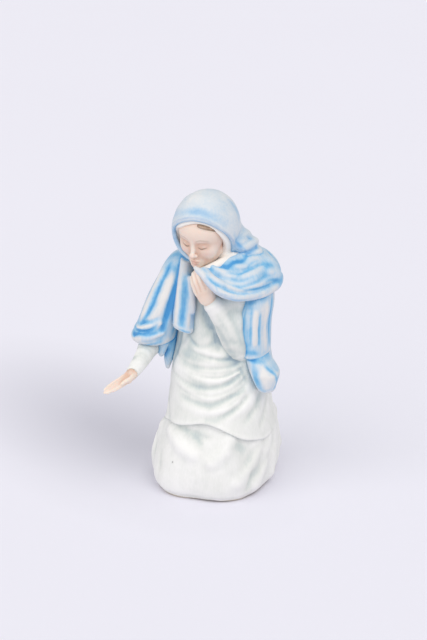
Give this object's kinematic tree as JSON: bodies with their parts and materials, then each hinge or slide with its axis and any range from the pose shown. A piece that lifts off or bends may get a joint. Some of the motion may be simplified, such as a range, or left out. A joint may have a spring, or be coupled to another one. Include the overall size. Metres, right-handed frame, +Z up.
{
  "type": "devotional figurine",
  "caption": "Kneeling robed figure in matte painted porcelain, head bowed, one hand held out palm up and the other under the chin, hooded mantle in soft folds.",
  "frame": {"origin": "middle of the foot, on the plane the figure rests on", "axes": "+Z up, knees and outstretched hand towards -Y, the figure's own left side towards +X"},
  "size_m": [0.0843, 0.0975, 0.1699],
  "materials": {
    "white_robe": "matt unglazed porcelain with a thin grey-blue wash in the folds",
    "blue_mantle": "matt unglazed porcelain painted pale blue, deeper in the folds and worn to white on the ridges",
    "white_veil": "matt unglazed white porcelain",
    "skin": "matt painted porcelain, warm skin tint",
    "hair": "matt painted porcelain, brown",
    "bare_clay": "bare fired clay under the foot"
  },
  "bodies": {
    "root": {"floor_slab": "bare_clay", "skirt_casting": "white_robe", "tunic_casting": "white_robe", "right_sleeve": "white_robe", "right_hand": "skin", "left_sleeve": "white_robe", "left_hand": "skin", "head_casting": "skin", "hair_front": "hair", "inner_veil": "white_veil", "mantle_hood": "blue_mantle", "mantle_collar": "blue_mantle", "mantle_left_fall": "blue_mantle", "mantle_left_tail": "blue_mantle", "mantle_right_drape": "blue_mantle", "mantle_right_flap": "blue_mantle", "mantle_right_tail": "blue_mantle", "mantle_back": "blue_mantle"}
  },
  "joints": []
}
